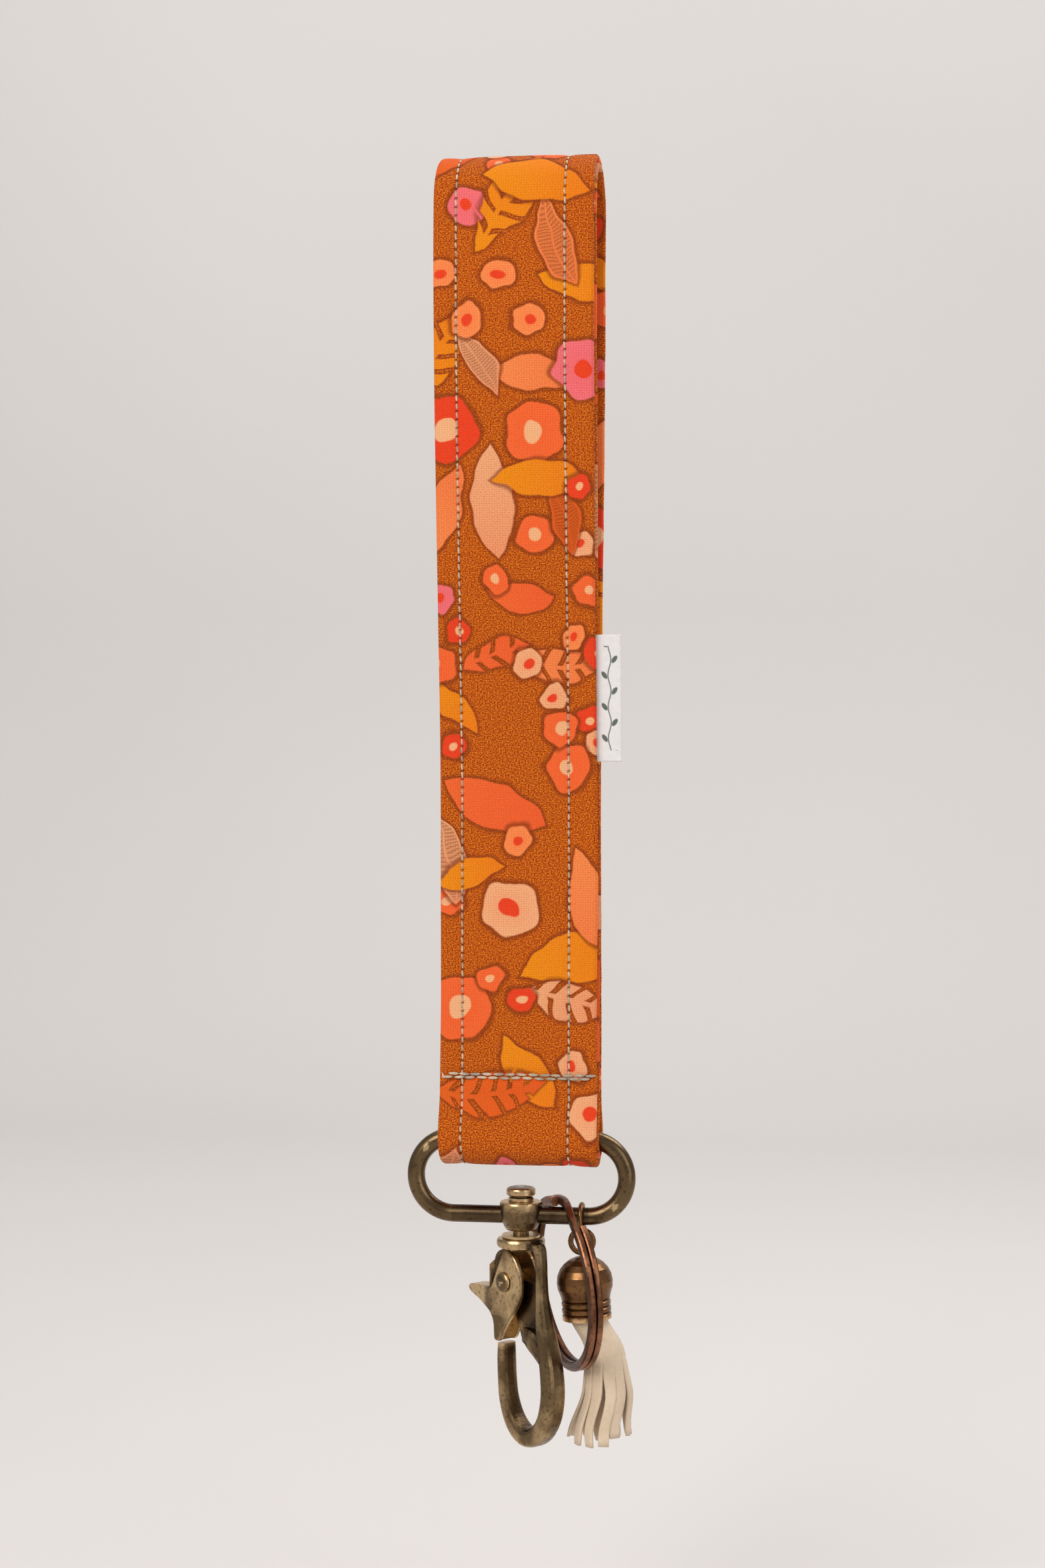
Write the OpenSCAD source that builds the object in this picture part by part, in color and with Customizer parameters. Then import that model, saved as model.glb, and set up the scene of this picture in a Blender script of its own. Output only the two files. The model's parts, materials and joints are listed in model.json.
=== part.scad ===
// Wristlet keychain: a padded fabric hand loop on an oval swivel ring, with a trigger hook,
// a split ring and a suede tassel hanging from the ring's lower bar.
// The origin is the axis that the loop hangs from. +Z is up, +X runs across the strap
// and -Y faces the front.

/* [Strap] */
// Width of the strap
strap_w = 32; // [31:0.5:32]
// Thickness of one layer of the strap, sleeve and fleece together
strap_t = 3.0; // [2.6:0.1:3.0]
// Thickness of the fleece inside the sleeve
fleece_t = 2.0; // [1.4:0.1:2.0]
// Radius of the strap's middle line where it goes over the hanging axis
top_r = 8.7; // [7:0.1:10]
// Radius of the strap's middle line where it wraps the ring's upper bar
wrap_r = 4.0; // [4:0.1:4.2]
// Depth below the axis at which the two layers start to close
open_depth = 20; // [10:1:40]
// Depth below the axis at which the two layers lie together
closed_depth = 125; // [90:1:150]
// Depth of the seam that holds the ring in the strap
seam_depth = 172; // [165:1:174]
// Distance of the left row of stitches from the strap's left edge
left_inset = 4.6; // [3:0.1:7]
// Distance of the right row of stitches from the strap's right edge
right_inset = 6.0; // [4:0.1:7]

/* [Label] */
// Height of the folded side label
label_h = 25; // [15:1:30]
// Depth of the label's top edge below the axis
label_depth = 84.5; // [60:0.5:120]
// How far the label stands out of the strap's edge
label_out = 4.4; // [3:0.1:6]

/* [Swivel ring] */
// Depth of the ring's upper bar below the axis
upper_depth = 184.6; // [184:0.1:186]
// Distance between the middle lines of the upper and lower bars
ring_pitch = 15.4; // [15:0.1:16]
// Overall width of the ring
ring_w = 46; // [46:0.5:48]
// Diameter of the ring's wire
ring_wire = 3.5; // [3.2:0.1:3.5]

/* [Hook] */
// Turn of the hook about the swivel, away from facing the front
hook_yaw = 42; // [38:1:46]
// Diameter of the swivel stud's shank
stud_d = 3.2; // [2.8:0.1:3.4]
// Diameter of the lever's rivet pin
pin_d = 1.8; // [1.4:0.1:2]
// Thickness of the lever over both cheeks
lever_t = 5.2; // [5:0.1:5.4]
// Thickness of each cheek of the lever
cheek_t = 0.9; // [0.7:0.1:0.9]

/* [Split ring] */
// Outside diameter of the split ring
split_od = 35; // [34:0.5:35]
// Width of its wire, measured along the ring's radius
split_wire = 2.0; // [1.6:0.1:2]
// Thickness of its two turns together
split_t = 2.9; // [2.4:0.1:2.9]
// Where it crosses the lower bar
split_x = 7.8; // [7.5:0.1:8.2]
// Turn of the split ring about the vertical
split_yaw = 28; // [25:1:29]
// Backward lean of the split ring, which rests behind the hook
split_lean = 5; // [4:0.5:7]

/* [Tassel] */
// Where the tassel's jump ring crosses the lower bar
tassel_x = 12.2; // [12:0.1:12.6]
// Sideways lean of the tassel
tassel_lean = 4; // [3:0.5:5]
// Largest diameter of the metal cap
cap_d = 11.2; // [10:0.1:11.4]
// Length from the lower bar to the ends of the fringe
tassel_reach = 44.7; // [40:0.5:48]
// Width of one suede strip
strip_w = 2.2; // [1.8:0.1:2.3]
// Thickness of one suede strip
strip_t = 0.9; // [0.7:0.1:1]

/* [Hidden] */
$fn = 64;

fit = 0.05;                 // running clearance on a radius
skin_gap = 0.02;            // gap between pieces that are sewn or pressed together
upper_z = -upper_depth;
bar_z = upper_z - ring_pitch;
seam_z = -seam_depth;
flat_y = strap_t / 2 + 0.1; // middle line of a layer where the two lie together
half_w = strap_w / 2;
hem = 0.9;                  // folded edge of the sleeve at the strap's open side
edge_fold = 0.5;            // sleeve thickness at the strap's folded side
slit_t = 0.6;               // slit between the two folded edges
label_t = 0.5;              // the label, folded double
label_root = 1.8;           // depth of label held in the slit
thread_h = 0.08;            // height of a thread above the cloth
thread_w = 0.55;
seam_thread_h = 0.18;
seam_thread_w = 0.7;
seam_end = 1.4;             // seam stops this far from each edge

ring_r = ring_pitch / 2;
ring_half = ring_w / 2 - ring_wire / 2 - ring_r;
boss_top = 2.8;
boss_bottom = -2.9;
boss_r = 4.25;
boss_low_r = 3.2;
bore_r = stud_d / 2 + fit;

yoke_top = -4.5;
yoke_bottom = -6.5;
yoke_r = 4.85;
washer_t = 0.5;
washer_r = 3.8;
head_gap = 0.08;
pin_at = [-2.4, -13.6];     // rivet, in the hook's plane
head_r = 2.0;               // rivet's domed heads
tab_tip = 1.1;              // half thickness of the thumb tab at its tip
channel_x = -4.9;           // inner face of the lever's back wall
lug_back = 1.6;             // back face of the lug between the cheeks
lug_front = -0.3;           // front face, which leaves room for the spring
lever_edge = 0.45;          // rounding of the lever's edges
spring_wire = 0.42;
spring_r = 1.6;
spring_turns = 1.5;
spring_pitch = 0.5;
spring_y = -1.42;           // middle of the first turn
spring_leg = 4.6;

split_r = split_od / 2 - split_wire / 2;
split_play = 0.2;           // between the split ring and the bar it hangs on
split_drop = split_r - split_wire / 2 - ring_wire / 2 - split_play;
step_half = 18;             // half the angle over which one turn crosses to the other

jump_wire = 1.0;
jump_r = 3.1;
jump_z = ring_wire / 2 + fit + jump_wire / 2 - jump_r;
link_z = jump_z - jump_r;   // middle of the jump ring's lowest wire
eye_wire = 1.1;
eye_r = 2.25;
eye_z = link_z + jump_wire / 2 + fit + eye_wire / 2 - eye_r;
cap_widest = -13;
cap_mouth = -20.4;
cap_wall = 0.6;
mouth_r = 4.9;
roll_r = 1.1;

brass = "#8c7350";
bronze = "#5a3a28";
copper = "#7d573c";
cloth = "#c05a18";
suede = "#d8c3a5";

// ---- curves ----

function mix(a, b, t) = a + (b - a) * t;
function ease(t) = let (c = max(0, min(1, t))) c * c * (3 - 2 * c);
function unit(v) = v / norm(v);
function sign_pow(v, p) = sign(v) * pow(abs(v), p);

// A smooth cubic through b and c, with a before them and d after them
function through(a, b, c, d, t) =
    (2 * b + (c - a) * t + (2 * a - 5 * b + 4 * c - d) * t * t
        + (3 * b - a - 3 * c + d) * t * t * t) / 2;

function open_curve(p, n) = let (last = len(p) - 1) concat(
    [for (i = [0:last - 1], k = [0:n - 1])
        through(p[max(i - 1, 0)], p[i], p[i + 1], p[min(i + 2, last)], k / n)],
    [p[last]]);

function closed_curve(p, n) = let (m = len(p))
    [for (i = [0:m - 1], k = [0:n - 1])
        through(p[(i + m - 1) % m], p[i], p[(i + 1) % m], p[(i + 2) % m], k / n)];

// A closed path moved sideways, to the right of its direction of travel
function moved(path, d) = let (n = len(path))
    [for (i = [0:n - 1])
        let (h = unit(path[(i + 1) % n] - path[(i + n - 1) % n])) path[i] + d * [h[1], -h[0]]];

// A closed surface over a row of rings, which all have the same number of points and run
// clockwise as seen by a traveller along the row
module skin(rings) {
    m = len(rings[0]);
    last = (len(rings) - 1) * m;
    sides = [for (i = [0:len(rings) - 2], k = [0:m - 1], half = [0, 1])
        let (a = i * m + k, b = i * m + (k + 1) % m) half == 0 ? [a, b, a + m] : [b, b + m, a + m]];
    caps = [[for (k = [m - 1:-1:0]) k], [for (k = [0:m - 1]) last + k]];
    polyhedron([for (r = rings) each r], concat(sides, caps), convexity = 10);
}

// One rounded section: across and along are the directions of its width and its depth
function section(at, across, along, w, d, sides) =
    [for (k = [0:sides - 1]) let (a = 360 * (k + 0.5) / sides)
        at + across * (w / 2 * sign_pow(cos(a), 0.6)) + along * (d / 2 * sign_pow(sin(a), 0.6))];

// A bar in the XZ plane through stations of [x, z, width, depth]
module swept(stations, n, sides = 16) {
    row = open_curve(stations, n);
    last = len(row) - 1;
    skin([for (i = [0:last])
        let (h = unit([for (k = [0, 1]) row[min(i + 1, last)][k] - row[max(i - 1, 0)][k]]))
        section([row[i][0], 0, row[i][1]], [-h[1], 0, h[0]], [0, 1, 0], row[i][2], row[i][3],
            sides)]);
}

// A plate in the XZ plane with rounded edges; the outline runs anticlockwise from the front
module plate(outline, t, edge) {
    steps = [for (a = [0:30:90]) edge * [1 - cos(a), 1 - sin(a)]];
    rings = concat([for (s = steps) [-t / 2 + s[0], s[1]]],
        [for (i = [len(steps) - 1:-1:0]) [t / 2 - steps[i][0], steps[i][1]]]);
    skin([for (r = rings) [for (p = moved(outline, -r[1])) [p[0], r[0], p[1]]]]);
}

// ---- strap ----

// Half the distance between the middle lines of the front and back layers at height z
function side_y(z) =
    z > -closed_depth
        ? mix(top_r, flat_y, ease((-z - open_depth) / (closed_depth - open_depth)))
        : mix(flat_y, wrap_r, ease((seam_z - 3 - z) / (seam_z - 3 - upper_z)));

side_z = concat([for (i = [0:11]) mix(upper_z, seam_z, i / 12)],
    [for (i = [0:44]) mix(seam_z, 0, i / 44)]);
side_count = len(side_z);

// The strap's middle line: up the front, over the top, down the back and round the bar
loop = concat(
    [for (z = side_z) [-side_y(z), z]],
    [for (a = [172.5:-7.5:7.5]) top_r * [cos(a), sin(a)]],
    [for (i = [side_count - 1:-1:0]) [side_y(side_z[i]), side_z[i]]],
    [for (a = [-11.25:-11.25:-168.75]) [0, upper_z] + wrap_r * [cos(a), sin(a)]]);

// A layer of the given thickness about the strap's middle line
module band(t, from_x, to_x) {
    translate([from_x, 0, 0]) rotate([90, 0, 90]) linear_extrude(to_x - from_x) difference() {
        polygon(moved(loop, -t / 2));
        polygon(moved(loop, t / 2));
    }
}

module strap_cover() {
    color(cloth) difference() {
        band(strap_t, -half_w, half_w);
        band(fleece_t, -half_w + edge_fold, half_w - hem);
        band(slit_t, half_w - label_root - skin_gap, half_w + 1);
    }
}

module strap_core() {
    color("ivory") difference() {
        band(fleece_t - 2 * skin_gap, -half_w + edge_fold + skin_gap, half_w - hem - skin_gap);
        band(slit_t + skin_gap, half_w - label_root - 2 * skin_gap, half_w);
    }
}

module side_label() {
    color("white") intersection() {
        band(label_t, half_w - label_root, half_w + label_out);
        translate([0, -2 * top_r, -label_depth - label_h]) cube([strap_w, 2 * top_r, label_h]);
    }
}

module stitch_line(x) {
    color("beige") difference() {
        band(strap_t + 2 * thread_h, x - thread_w / 2, x + thread_w / 2);
        band(strap_t + skin_gap, x - thread_w, x + thread_w);
    }
}

module topstitch_left() { stitch_line(-half_w + left_inset); }
module topstitch_right() { stitch_line(half_w - right_inset); }

module seam_stitch() {
    out = flat_y + strap_t / 2 + thread_h + seam_thread_h / 2 + skin_gap;
    color("beige") for (side = [-1, 1]) translate([0, side * out, seam_z])
        cube([strap_w - 2 * seam_end, seam_thread_h, seam_thread_w], center = true);
}

// ---- swivel ring ----

module ring_bar(z) {
    translate([-ring_half, 0, z]) rotate([0, 90, 0]) cylinder(d = ring_wire, h = 2 * ring_half);
}

module ring_end(side) {
    translate([side * ring_half, 0, upper_z - ring_r]) rotate([90, 0, 0])
        rotate(side > 0 ? -90 : 90) rotate_extrude(angle = 180)
            translate([ring_r, 0]) circle(d = ring_wire);
}

module swivel_ring() {
    color(brass) difference() {
        union() {
            ring_bar(upper_z);
            ring_bar(bar_z);
            ring_end(-1);
            ring_end(1);
            translate([0, 0, bar_z]) rotate_extrude() polygon([[0, boss_bottom],
                [boss_low_r - 0.3, boss_bottom], [boss_low_r, boss_bottom + 0.3],
                [boss_r - 0.4, -1.2], [boss_r - 0.1, 0.4], [boss_r, 1.2], [boss_r, boss_top - 0.5],
                [boss_r - 0.15, boss_top - 0.15], [boss_r - 0.5, boss_top], [0, boss_top]]);
        }
        translate([0, 0, bar_z - ring_pitch / 2]) cylinder(r = bore_r, h = ring_pitch);
    }
}

// ---- hook ----

// Places a piece that is drawn in the hook's plane, with the lower bar's middle at zero
module in_hook() {
    translate([0, 0, bar_z]) rotate([0, 0, -hook_yaw]) children();
}

// A round piece across the hook, on the rivet's axis, from y = low to y = high
module on_pin(low, high) {
    translate([pin_at[0], high, pin_at[1]]) rotate([90, 0, 0]) linear_extrude(high - low)
        children();
}

module swivel_stud() {
    low = boss_top + head_gap;
    color(brass) in_hook() rotate_extrude() polygon([
        [0, yoke_bottom + 0.1], [stud_d / 2, yoke_bottom + 0.1], [stud_d / 2, low], [2.5, low],
        [2.5, 3.5], [2.15, 3.65], [2.15, 3.85], [2.75, 4.0], [2.9, 4.2], [2.9, 5.0], [2.8, 5.3],
        [2.5, 5.5], [1.8, 5.65], [0, 5.7]]);
}

module swivel_washer() {
    color(brass) in_hook() translate([0, 0, yoke_top + 0.1]) difference() {
        cylinder(r = washer_r, h = washer_t);
        translate([0, 0, -1]) cylinder(r = bore_r, h = washer_t + 2);
    }
}

// The plate between the lever's cheeks, which carries the rivet
module lug() {
    eye = [for (a = [60:20:180]) pin_at + 2.1 * [cos(a), sin(a)]];
    rest = [[-4.4, -14.6], [-3.0, -16.4], [-1.7, -19.4], [-0.3, -22.2], [0.6, -24.6],
        [2.4, -26.2], [6.4, -26.0], [7.0, -20.0], [6.4, -13.4], [1.4, -12.9]];
    translate([0, lug_back, 0]) rotate([90, 0, 0]) linear_extrude(lug_back - lug_front)
        polygon(concat(eye, rest));
}

// The rail, the outer limb, the bottom and the inner limb up to the hook's tip
module rail_and_hook() {
    swept([[3.4, -5.5, 1.8, 3.6], [5.4, -5.9, 1.8, 3.0], [6.2, -8.0, 1.7, 2.5],
        [6.4, -12.0, 1.6, 2.5], [6.6, -16.0, 1.8, 2.8], [7.2, -20.5, 2.4, 3.6],
        [8.4, -25.2, 3.0, 4.3], [9.5, -30.0, 3.3, 4.7], [9.8, -35.0, 3.4, 4.8],
        [8.6, -39.8, 3.6, 4.8], [5.7, -43.2, 3.8, 4.7], [1.9, -44.0, 3.7, 4.5],
        [-1.5, -41.8, 3.2, 4.3], [-3.6, -37.8, 2.7, 4.1], [-4.3, -33.4, 2.4, 4.0],
        [-4.5, -29.4, 2.3, 4.0], [-4.5, -26.3, 2.1, 3.8]], 4);
}

// The bar over the top of the hook's opening, from the rail to beside the lever
module top_arm() {
    swept([[8.6, -27.2, 4.2, 4.2], [6.6, -25.5, 4.6, 4.2], [4.6, -24.5, 4.4, 3.9],
        [2.8, -24.0, 3.8, 2.6], [1.5, -23.8, 3.2, 2.0]], 4);
}

module hook_body() {
    color(brass) in_hook() difference() {
        union() {
            rotate_extrude() polygon([[0, yoke_bottom], [yoke_r - 0.7, yoke_bottom],
                [yoke_r - 0.2, yoke_bottom + 0.25], [yoke_r, yoke_bottom + 0.7],
                [yoke_r, yoke_top - 0.6], [yoke_r - 0.2, yoke_top - 0.15],
                [yoke_r - 0.6, yoke_top], [0, yoke_top]]);
            rail_and_hook();
            top_arm();
            lug();
        }
        translate([0, 0, yoke_bottom - 1]) cylinder(d = stud_d + 2 * skin_gap, h = 4);
        on_pin(-lever_t, lever_t) circle(d = pin_d + 2 * skin_gap);
    }
}

module trigger_pin() {
    face = lever_t / 2 + head_gap;
    color(brass) in_hook() {
        on_pin(-face - 0.1, face + 0.1) circle(d = pin_d);
        for (side = [-1, 1]) translate([pin_at[0], side * face, pin_at[1]])
            rotate([-90 * side, 0, 0]) rotate_extrude() polygon(concat([[0, 0], [head_r, 0]],
                [for (a = [0:15:90]) [head_r * cos(a), 0.15 + 0.7 * sin(a)]]));
    }
}

// A coil round the rivet with a straight leg at each end
module trigger_spring() {
    at = function(a) [spring_r * cos(a), spring_y + spring_pitch * a / 360, spring_r * sin(a)];
    end = 360 * spring_turns;
    middle = [for (a = [0:15:end]) [at(a), a]];
    first = [at(0) - [0, 0, spring_leg], 0];
    last = [at(end) + [0, 0, -spring_leg / 2], end];
    color("silver") in_hook() translate([pin_at[0], 0, pin_at[1]])
        skin([for (s = concat([first], middle, [last]))
            section(s[0], [-cos(s[1]), 0, -sin(s[1])], [0, 1, 0], spring_wire, spring_wire, 8)]);
}

// The lever seen from the front: thumb tab on the left, round lobe above, gate below
lever_outline = closed_curve([[-2.9, -7.0], [-4.9, -8.2], [-5.8, -11.0], [-6.3, -14.3],
    [-8.0, -15.3], [-11.2, -15.4], [-14.3, -15.8], [-15.1, -16.6], [-14.1, -17.4],
    [-10.6, -18.4], [-7.6, -19.8], [-6.3, -21.2], [-5.8, -22.6], [-5.7, -24.1], [-5.4, -25.6],
    [-4.0, -25.6], [-2.9, -23.8], [-1.2, -21.4], [1.2, -18.6], [2.7, -15.6], [2.7, -12.2],
    [1.3, -9.0], [-0.8, -7.3]], 5);

module trigger_lever() {
    color(brass) in_hook() difference() {
        plate(lever_outline, lever_t, lever_edge);
        translate([channel_x, -lever_t / 2 + cheek_t, -30])
            cube([30, lever_t - 2 * cheek_t, 30]);
        for (side = [-1, 1]) translate([0, 0, -30]) linear_extrude(30)
            polygon([[-6.8, side * lever_t / 2], [-16, side * tab_tip], [-16, side * lever_t],
                [-6.8, side * lever_t]]);
        on_pin(-lever_t, lever_t) circle(r = pin_d / 2 + fit);
    }
}

// ---- split ring ----

// Distance from the middle of the ring's thickness at angle a, in the first or second turn
function turn_y(a) = mix(-1, 1, ease((a - 360 + step_half) / (2 * step_half))) * split_t / 4;

module split_ring() {
    coil_t = split_t / 2 - 0.04;
    angles = [for (i = [0:112]) mix(step_half + 2, 720 - step_half - 2, i / 112)];
    color(bronze) translate([split_x, 0, bar_z]) rotate([split_lean, 0, -(90 - split_yaw)])
        translate([0, 0, -split_drop]) rotate([0, -70, 0])
            skin([for (a = angles) section([split_r * cos(a), turn_y(a), split_r * sin(a)],
                [cos(a), 0, sin(a)], [0, 1, 0], split_wire, coil_t, 12)]);
}

// ---- tassel ----

module jump_ring() {
    color(copper) translate([tassel_x, 0, bar_z + jump_z]) rotate([0, 90, 0])
        rotate_extrude() translate([jump_r, 0]) circle(d = jump_wire, $fn = 32);
}

// Places a piece of the tassel, leaning about its link with the jump ring
module in_tassel() {
    translate([tassel_x, 0, bar_z + link_z]) rotate([0, -tassel_lean, 0])
        translate([0, 0, -link_z]) children();
}

module tassel_eye() {
    color(copper) in_tassel() {
        translate([0, 0, eye_z]) rotate([90, 0, 0]) rotate_extrude()
            translate([eye_r, 0]) circle(d = eye_wire, $fn = 32);
    }
}

module tassel_cap() {
    r = cap_d / 2;
    top = eye_z - eye_r - eye_wire / 2 - skin_gap;
    color(copper) in_tassel() rotate_extrude() polygon(concat(
        [[0, top]], [for (a = [75:-15:0]) [r * cos(a), cap_widest + (top - cap_widest) * sin(a)]],
        [[r - 0.1, cap_widest - 1.2], [r - 0.55, cap_widest - 2.5], [mouth_r, -16.0]],
        [for (z = [-16.5:-1.3:-19.1]) each [[mouth_r, z + 0.2], [mouth_r - 0.3, z - 0.1],
            [mouth_r, z - 0.4]]],
        [[mouth_r, cap_mouth], [mouth_r - cap_wall, cap_mouth], [mouth_r - cap_wall, -16.2],
            [r - cap_wall - 0.4, cap_widest - 1.4], [r - cap_wall - 0.2, cap_widest],
            [0.6 * r, -10.2], [0, -9.4]]));
}

module tassel_roll() {
    color(suede) in_tassel() translate([0, 0, cap_mouth + 0.4])
        cylinder(r = roll_r, h = cap_widest - cap_mouth + 0.3);
}

// Sideways push that keeps the fringe beside the split ring and lets it fall back below, at
// height z
function fringe_push(z) = 3.1 * ease((cap_mouth - z + 1.5) / 8) - 2.0 * ease((-34 - z) / 9);

// One strip: it leaves the cap at radius from_r and ends at radius to_r, at angle a
module strip(a, from_r, to_r, bottom, twist) {
    top = cap_mouth + 3.5;
    skin([for (i = [0:7])
        let (t = i / 7, z = mix(top, bottom, t),
            r = mix(from_r, to_r, pow(max(0, (t - 0.35) / 0.65), 1.6)),
            b = a + twist * t, out = [cos(b), sin(b), 0], side = [-sin(b), cos(b), 0])
        section([r * cos(a) + fringe_push(z), r * sin(a), z], out, side, strip_t, strip_w, 8)]);
}

module fringe(count, from_r, to_r, start) {
    for (i = [0:count - 1]) {
        a = start + 360 * i / count;
        wave = sin(137 * i + start);
        strip(a, from_r, to_r + 0.5 * wave, -tassel_reach + 0.9 + 0.8 * sin(97 * i), 24 * wave);
    }
}

module fringe_outer() {
    color(suede) in_tassel() fringe(9, 3.3, 6.4, 12);
}

module fringe_inner() {
    color(suede) in_tassel() fringe(6, 2.1, 3.4, 30);
}

strap_cover();
strap_core();
side_label();
topstitch_left();
topstitch_right();
seam_stitch();
swivel_ring();
swivel_stud();
swivel_washer();
hook_body();
trigger_pin();
trigger_spring();
trigger_lever();
split_ring();
jump_ring();
tassel_eye();
tassel_cap();
tassel_roll();
fringe_outer();
fringe_inner();
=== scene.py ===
"""Wristlet keychain: a printed cotton wrist loop on a swivel ring, with a trigger hook, a split
ring and a suede tassel. Lengths are metres, and millimetres in the cloth's own print map."""
import json
import math
import random

import bpy
import numpy as np
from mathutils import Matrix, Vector


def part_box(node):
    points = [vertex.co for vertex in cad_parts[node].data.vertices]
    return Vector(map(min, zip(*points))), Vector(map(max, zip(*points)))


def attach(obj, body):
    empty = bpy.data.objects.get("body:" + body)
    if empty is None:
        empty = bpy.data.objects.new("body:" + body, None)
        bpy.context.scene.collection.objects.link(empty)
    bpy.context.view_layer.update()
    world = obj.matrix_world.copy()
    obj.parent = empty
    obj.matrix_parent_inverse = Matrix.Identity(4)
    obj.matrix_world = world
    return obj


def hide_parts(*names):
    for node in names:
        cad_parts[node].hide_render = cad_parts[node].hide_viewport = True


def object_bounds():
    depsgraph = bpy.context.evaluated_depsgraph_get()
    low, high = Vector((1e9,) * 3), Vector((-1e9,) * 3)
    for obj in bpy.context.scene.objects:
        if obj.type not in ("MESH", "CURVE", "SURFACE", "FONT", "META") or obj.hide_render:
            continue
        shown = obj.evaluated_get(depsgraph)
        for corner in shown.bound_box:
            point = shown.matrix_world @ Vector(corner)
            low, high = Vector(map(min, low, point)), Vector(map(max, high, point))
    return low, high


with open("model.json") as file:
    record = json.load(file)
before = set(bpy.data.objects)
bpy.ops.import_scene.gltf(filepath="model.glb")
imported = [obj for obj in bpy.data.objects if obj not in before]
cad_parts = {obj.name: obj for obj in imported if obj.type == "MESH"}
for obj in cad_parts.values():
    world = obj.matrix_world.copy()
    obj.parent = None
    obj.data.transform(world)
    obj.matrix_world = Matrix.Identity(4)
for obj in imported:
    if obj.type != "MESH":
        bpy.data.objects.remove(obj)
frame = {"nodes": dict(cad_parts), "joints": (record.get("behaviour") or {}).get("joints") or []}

CAD_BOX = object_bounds()
MM = 0.001


# ---- sizes, from the frame ----

cover_low, cover_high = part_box("strap_cover")
seam_low, seam_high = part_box("seam_stitch")
label_low, label_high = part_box("side_label")
left_low, left_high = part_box("topstitch_left")
right_low, right_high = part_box("topstitch_right")
cap_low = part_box("tassel_cap")[0]
fringe_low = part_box("fringe_outer")[0]
JOINTS = {joint["name"]: joint for joint in frame["joints"]}

HALF_W = cover_high.x
LAYER = 3.0 * MM                      # thickness of one layer of the strap
TOP_R = cover_high.z - LAYER / 2      # middle line's radius over the hanging axis
UPPER_Z = JOINTS["ring_swing"]["pos_m"][2]
WRAP_R = UPPER_Z - cover_low.z - LAYER / 2
FLAT_Y = LAYER / 2 + 0.1 * MM         # middle line where the two layers lie together
SEAM_Z = (seam_low.z + seam_high.z) / 2
OPEN_Z, CLOSED_Z = -20 * MM, -125 * MM
SEAM_EASE = 3 * MM
LEFT_ROW = (left_low.x + left_high.x) / 2
RIGHT_ROW = (right_low.x + right_high.x) / 2
STITCH = 1.65 * MM                    # pitch of the edge stitches
ZONES = 12                            # bands of the print along the loop
INSIDE_SHIFT = 83 * STITCH / MM       # how far along the print on the inside is shifted, in mm


def ease(t):
    t = np.clip(t, 0, 1)
    return t * t * (3 - 2 * t)


def smooth_noise(seed, size, steps):
    """A repeating one-dimensional noise: random values size steps apart, joined smoothly."""
    knots = max(3, round(steps / size))
    values = np.random.default_rng(seed).uniform(-1, 1, knots)
    at = np.arange(steps) * knots / steps
    low = at.astype(int)
    part = ease(at - low)
    return values[low % knots] * (1 - part) + values[(low + 1) % knots] * part


# ---- mesh building ----

def surface(name, grid, close_rows=False, uv=None):
    """A mesh over a grid of points, rows by columns. uv, where given, has one row more than a
    closed grid, so that the print can run on over the join."""
    rows, columns = grid.shape[:2]
    faces, corners = [], []
    for i in range(rows if close_rows else rows - 1):
        for j in range(columns - 1):
            here, after = i * columns + j, (i + 1) % rows * columns + j
            faces.append((here, here + 1, after + 1, after))
            corners.append(((i, j), (i, j + 1), (i + 1, j + 1), (i + 1, j)))
    mesh = bpy.data.meshes.new(name)
    mesh.from_pydata(grid.reshape(-1, 3).tolist(), [], faces)
    mesh.shade_smooth()
    if uv is not None:
        layer = mesh.uv_layers.new(name="print")
        flat = [uv[i, j] for face in corners for i, j in face]
        layer.data.foreach_set("uv", np.array(flat, np.float32).ravel())
    obj = bpy.data.objects.new(name, mesh)
    bpy.context.scene.collection.objects.link(obj)
    return obj


def joined(name, parts):
    """One mesh from (vertices, faces) parts."""
    points, faces, start = [], [], 0
    for vertices, polygons in parts:
        points.append(vertices)
        faces += [tuple(start + k for k in polygon) for polygon in polygons]
        start += len(vertices)
    mesh = bpy.data.meshes.new(name)
    mesh.from_pydata(np.concatenate(points).tolist(), [], faces)
    mesh.shade_smooth()
    obj = bpy.data.objects.new(name, mesh)
    bpy.context.scene.collection.objects.link(obj)
    return obj


def tube_part(rings):
    """Vertices and faces of a closed tube through rings of points."""
    rows, columns = rings.shape[:2]
    faces = [(i * columns + j, i * columns + (j + 1) % columns,
              (i + 1) * columns + (j + 1) % columns, (i + 1) * columns + j)
             for i in range(rows - 1) for j in range(columns)]
    faces.append(tuple(range(columns - 1, -1, -1)))
    faces.append(tuple((rows - 1) * columns + j for j in range(columns)))
    return rings.reshape(-1, 3), faces


def finish_piece(obj, body, material, replaced=()):
    obj.data.materials.append(material)
    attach(obj, body)
    if replaced:
        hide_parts(*replaced)
    return obj


# ---- the strap's path ----

def side_y(z):
    """Half the distance between the middle lines of the front and back layers."""
    upper = TOP_R + (FLAT_Y - TOP_R) * ease((OPEN_Z - z) / (OPEN_Z - CLOSED_Z))
    start = SEAM_Z - SEAM_EASE
    lower = FLAT_Y + (WRAP_R - FLAT_Y) * ease((start - z) / (start - UPPER_Z))
    return np.where(z > CLOSED_Z, upper, lower)


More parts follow.
